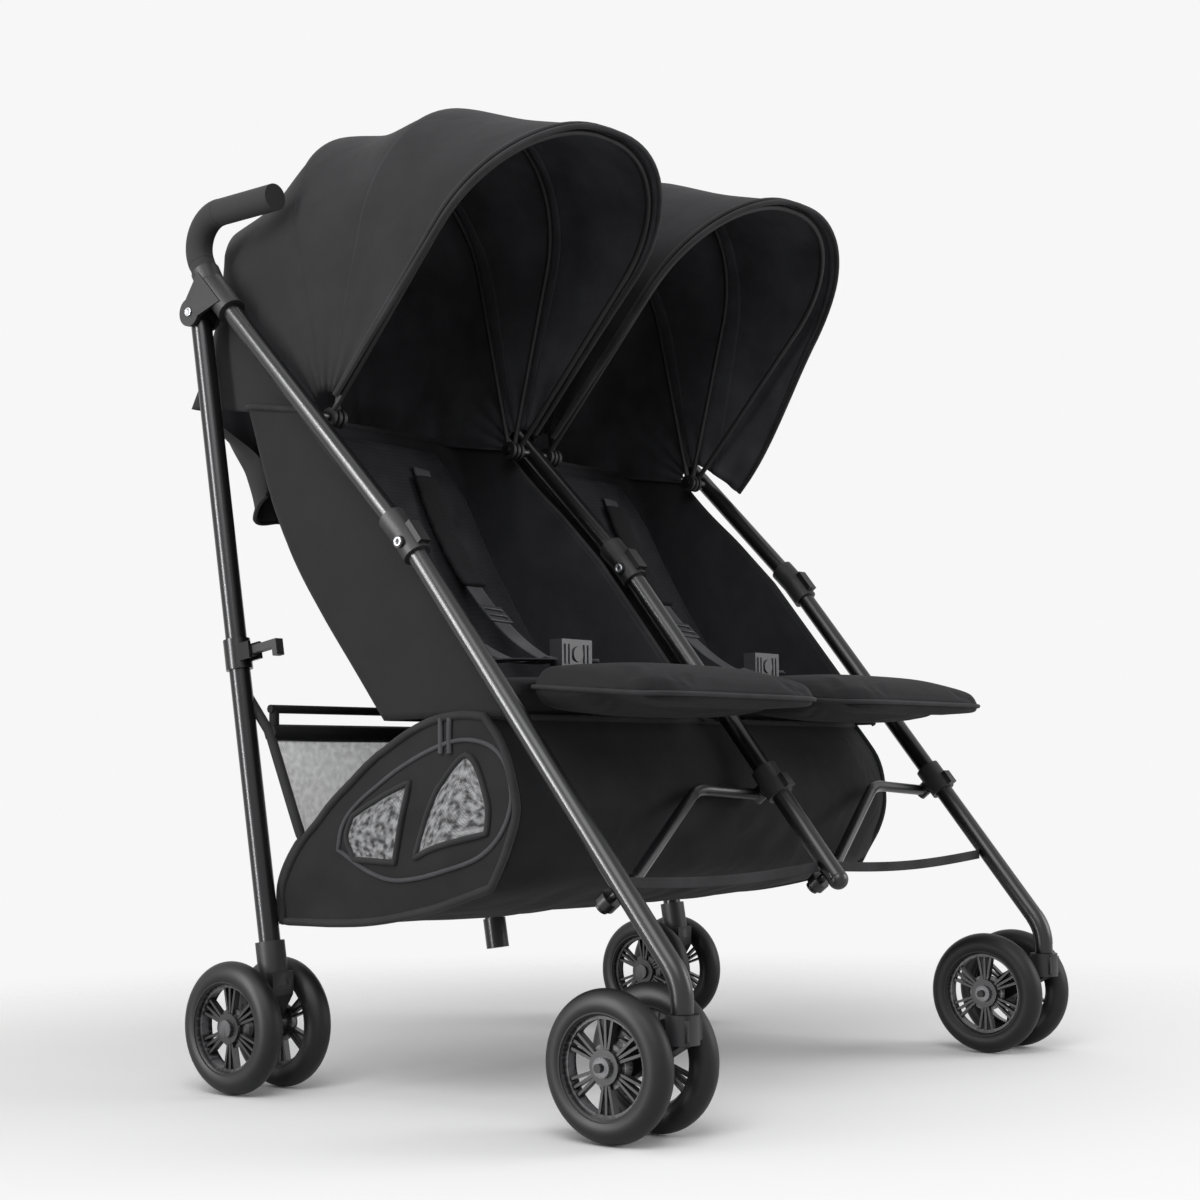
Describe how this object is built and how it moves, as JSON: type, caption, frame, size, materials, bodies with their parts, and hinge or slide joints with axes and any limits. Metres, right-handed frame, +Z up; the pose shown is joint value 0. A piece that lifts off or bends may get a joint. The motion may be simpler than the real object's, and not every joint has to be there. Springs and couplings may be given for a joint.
{
  "type": "double stroller",
  "caption": "Side by side double stroller with an umbrella folding frame, hooded seats, leg rests, an under-seat basket and swivelling front wheels.",
  "frame": {"origin": "on the floor, under the middle of the whole stroller", "axes": "+Z is up, the seats face -Y, the right-hand side of the seated child is -X"},
  "size_m": [0.789, 0.6972, 1.0245],
  "materials": {
    "frame_tube": "satin black",
    "leg_tube": "satin black",
    "fitting": "fine texture",
    "foam": "foam",
    "tyre": "matt",
    "rim": "satin",
    "canopy_cloth": "woven",
    "seat_cloth": "woven, padded",
    "basket_cloth": "woven with mesh windows",
    "webbing": "woven webbing",
    "bow": "black"
  },
  "bodies": {
    "centre_frame": {"centre_tube": "frame_tube", "centre_top_joint": "fitting", "centre_clamp": "fitting", "right_seat": "seat_cloth", "left_seat": "seat_cloth", "basket": "basket_cloth", "right_harness": "webbing", "left_harness": "webbing", "right_canopy": "canopy_cloth", "left_canopy": "canopy_cloth", "right_bow_rear": "bow", "left_bow_rear": "bow"},
    "right_side": {"right_tube": "frame_tube", "right_top_joint": "fitting", "right_grip": "foam", "right_clamp": "fitting"},
    "left_side": {"left_tube": "frame_tube", "left_top_joint": "fitting", "left_grip": "foam", "left_clamp": "fitting"},
    "right_leg": {"right_rear_leg": "leg_tube", "right_axle_block": "fitting"},
    "centre_leg": {"centre_rear_leg": "leg_tube"},
    "left_leg": {"left_rear_leg": "leg_tube", "left_axle_block": "fitting"},
    "right_bar": {"right_front_bar": "frame_tube"},
    "left_bar": {"left_front_bar": "frame_tube"},
    "centre_slider": {"centre_collar": "fitting"},
    "left_slider": {"left_collar": "fitting"},
    "right_caster": {"right_fork": "fitting"},
    "left_caster": {"left_fork": "fitting"},
    "rf_out_wheel": {"rf_out_tyre": "tyre", "rf_out_rim": "rim"},
    "rf_in_wheel": {"rf_in_tyre": "tyre", "rf_in_rim": "rim"},
    "lf_out_wheel": {"lf_out_tyre": "tyre", "lf_out_rim": "rim"},
    "lf_in_wheel": {"lf_in_tyre": "tyre", "lf_in_rim": "rim"},
    "rr_wheels": {"rr_tyres": "tyre", "rr_rims": "rim"},
    "lr_wheels": {"lr_tyres": "tyre", "lr_rims": "rim"},
    "right_brake": {"right_brake_pedal": "fitting"},
    "left_brake": {"left_brake_pedal": "fitting"},
    "latch": {"fold_latch": "fitting"},
    "right_back": {"right_backrest": "seat_cloth"},
    "left_back": {"left_backrest": "seat_cloth"},
    "right_calf": {"right_leg_rest": "seat_cloth"},
    "left_calf": {"left_leg_rest": "seat_cloth"},
    "right_mid_bow": {"right_bow_mid": "bow"},
    "right_front_bow": {"right_bow_front": "bow"},
    "left_mid_bow": {"left_bow_mid": "bow"},
    "left_front_bow": {"left_bow_front": "bow"},
    "right_lock": {"right_buckle": "fitting"},
    "left_lock": {"left_buckle": "fitting"},
    "right_press": {"right_buckle_button": "fitting"},
    "left_press": {"left_buckle_button": "fitting"}
  },
  "joints": [
    {"name": "fold", "type": "slide", "parent": "centre_frame", "child": "right_side", "axis": [1, 0, 0], "range_m": [0, 0.19], "deforming": ["right_canopy", "left_canopy", "right_bow_front", "right_bow_mid", "right_bow_rear", "left_bow_front", "left_bow_mid", "left_bow_rear", "right_seat", "left_seat", "right_backrest", "left_backrest", "right_leg_rest", "left_leg_rest", "basket", "right_harness", "left_harness"]},
    {"name": "left_side_slide", "type": "slide", "parent": "centre_frame", "child": "left_side", "axis": [-1, 0, 0], "range_m": [0, 0.19]},
    {"name": "right_leg_swing", "type": "hinge", "parent": "right_side", "child": "right_leg", "pos_m": [-0.345, 0.29241, 0.815], "axis": [-1, 0, 0], "range_deg": [0, 28]},
    {"name": "centre_leg_swing", "type": "hinge", "parent": "centre_frame", "child": "centre_leg", "pos_m": [0, 0.29241, 0.815], "axis": [-1, 0, 0], "range_deg": [0, 28]},
    {"name": "left_leg_swing", "type": "hinge", "parent": "left_side", "child": "left_leg", "pos_m": [0.345, 0.29241, 0.815], "axis": [-1, 0, 0], "range_deg": [0, 28]},
    {"name": "right_bar_swing", "type": "hinge", "parent": "right_side", "child": "right_bar", "pos_m": [-0.345, -0.25429, 0.20581], "axis": [0, -0.7859, 0.6184], "range_deg": [0, 46.46]},
    {"name": "left_bar_swing", "type": "hinge", "parent": "centre_frame", "child": "left_bar", "pos_m": [0, -0.25429, 0.20581], "axis": [0, -0.7859, 0.6184], "range_deg": [0, 46.46]},
    {"name": "centre_collar_slide", "type": "slide", "parent": "centre_frame", "child": "centre_slider", "axis": [0, 0.6184, 0.7859], "range_m": [0, 0.21463]},
    {"name": "left_collar_slide", "type": "slide", "parent": "left_side", "child": "left_slider", "axis": [0, 0.6184, 0.7859], "range_m": [0, 0.21463]},
    {"name": "right_caster_swivel", "type": "hinge", "parent": "right_side", "child": "right_caster", "pos_m": [-0.345, -0.33359, 0.112], "axis": [0, 0, 1], "continuous": true},
    {"name": "left_caster_swivel", "type": "hinge", "parent": "left_side", "child": "left_caster", "pos_m": [0.345, -0.33359, 0.112], "axis": [0, 0, 1], "continuous": true},
    {"name": "rf_out_spin", "type": "hinge", "parent": "right_caster", "child": "rf_out_wheel", "pos_m": [-0.378, -0.27859, 0.067], "axis": [1, 0, 0], "continuous": true},
    {"name": "rf_in_spin", "type": "hinge", "parent": "right_caster", "child": "rf_in_wheel", "pos_m": [-0.312, -0.27859, 0.067], "axis": [1, 0, 0], "continuous": true},
    {"name": "lf_out_spin", "type": "hinge", "parent": "left_caster", "child": "lf_out_wheel", "pos_m": [0.378, -0.27859, 0.067], "axis": [1, 0, 0], "continuous": true},
    {"name": "lf_in_spin", "type": "hinge", "parent": "left_caster", "child": "lf_in_wheel", "pos_m": [0.312, -0.27859, 0.067], "axis": [1, 0, 0], "continuous": true},
    {"name": "rr_spin", "type": "hinge", "parent": "right_leg", "child": "rr_wheels", "pos_m": [-0.345, 0.20541, 0.067], "axis": [1, 0, 0], "continuous": true},
    {"name": "lr_spin", "type": "hinge", "parent": "left_leg", "child": "lr_wheels", "pos_m": [0.345, 0.20541, 0.067], "axis": [1, 0, 0], "continuous": true},
    {"name": "right_brake_press", "type": "hinge", "parent": "right_leg", "child": "right_brake", "pos_m": [-0.345, 0.20941, 0.103], "axis": [-1, 0, 0], "range_deg": [0, 16]},
    {"name": "left_brake_press", "type": "hinge", "parent": "left_leg", "child": "left_brake", "pos_m": [0.345, 0.20941, 0.103], "axis": [-1, 0, 0], "range_deg": [0, 16]},
    {"name": "latch_lift", "type": "hinge", "parent": "right_leg", "child": "latch", "pos_m": [-0.345, 0.21405, 0.4508], "axis": [-1, 0, 0], "range_deg": [0, 25]},
    {"name": "right_recline", "type": "hinge", "parent": "centre_frame", "child": "right_back", "pos_m": [-0.1725, 0.05241, 0.374], "axis": [-1, 0, 0], "range_deg": [0, 12]},
    {"name": "left_recline", "type": "hinge", "parent": "centre_frame", "child": "left_back", "pos_m": [0.1725, 0.05241, 0.374], "axis": [-1, 0, 0], "range_deg": [0, 12]},
    {"name": "right_leg_rest_tilt", "type": "hinge", "parent": "centre_frame", "child": "right_calf", "pos_m": [-0.1725, -0.14599, 0.4], "axis": [1, 0, 0], "range_deg": [0, 55]},
    {"name": "left_leg_rest_tilt", "type": "hinge", "parent": "centre_frame", "child": "left_calf", "pos_m": [0.1725, -0.14599, 0.4], "axis": [1, 0, 0], "range_deg": [0, 55]},
    {"name": "right_canopy_fold", "type": "hinge", "parent": "centre_frame", "child": "right_mid_bow", "pos_m": [-0.1725, 0.12225, 0.68701], "axis": [-1, 0, 0], "range_deg": [0, 24]},
    {"name": "right_rim_fold", "type": "hinge", "parent": "right_mid_bow", "child": "right_front_bow", "pos_m": [-0.1725, 0.12225, 0.68701], "axis": [-1, 0, 0], "range_deg": [0, 24]},
    {"name": "left_canopy_fold", "type": "hinge", "parent": "centre_frame", "child": "left_mid_bow", "pos_m": [0.1725, 0.12225, 0.68701], "axis": [-1, 0, 0], "range_deg": [0, 24]},
    {"name": "left_rim_fold", "type": "hinge", "parent": "left_mid_bow", "child": "left_front_bow", "pos_m": [0.1725, 0.12225, 0.68701], "axis": [-1, 0, 0], "range_deg": [0, 24]},
    {"name": "right_buckle_shift", "type": "slide", "parent": "centre_frame", "child": "right_lock", "axis": [0.9613, 0, 0.2756], "range_m": [0, 0.095]},
    {"name": "left_buckle_shift", "type": "slide", "parent": "centre_frame", "child": "left_lock", "axis": [-0.9613, 0, 0.2756], "range_m": [0, 0.095]},
    {"name": "right_button_press", "type": "slide", "parent": "right_lock", "child": "right_press", "axis": [0, 1, 0], "range_m": [0, 0.0025], "stiffness_N_per_m": 300, "springref_m": -0.002},
    {"name": "left_button_press", "type": "slide", "parent": "left_lock", "child": "left_press", "axis": [0, 1, 0], "range_m": [0, 0.0025], "stiffness_N_per_m": 300, "springref_m": -0.002}
  ],
  "couplings": [
    {"joint": "left_side_slide", "follows": "fold", "ratio": 1},
    {"joint": "right_leg_swing", "follows": "fold", "rad_per_m": 2.572},
    {"joint": "centre_leg_swing", "follows": "fold", "rad_per_m": 2.572},
    {"joint": "left_leg_swing", "follows": "fold", "rad_per_m": 2.572},
    {"joint": "right_bar_swing", "follows": "fold", "rad_per_m": 4.268},
    {"joint": "left_bar_swing", "follows": "fold", "rad_per_m": 4.268},
    {"joint": "centre_collar_slide", "follows": "fold", "ratio": 1.1296},
    {"joint": "left_collar_slide", "follows": "fold", "ratio": 1.1296},
    {"joint": "right_buckle_shift", "follows": "fold", "ratio": 0.5},
    {"joint": "left_buckle_shift", "follows": "fold", "ratio": 0.5},
    {"joint": "right_rim_fold", "follows": "right_canopy_fold", "ratio": 1},
    {"joint": "left_rim_fold", "follows": "left_canopy_fold", "ratio": 1}
  ]
}
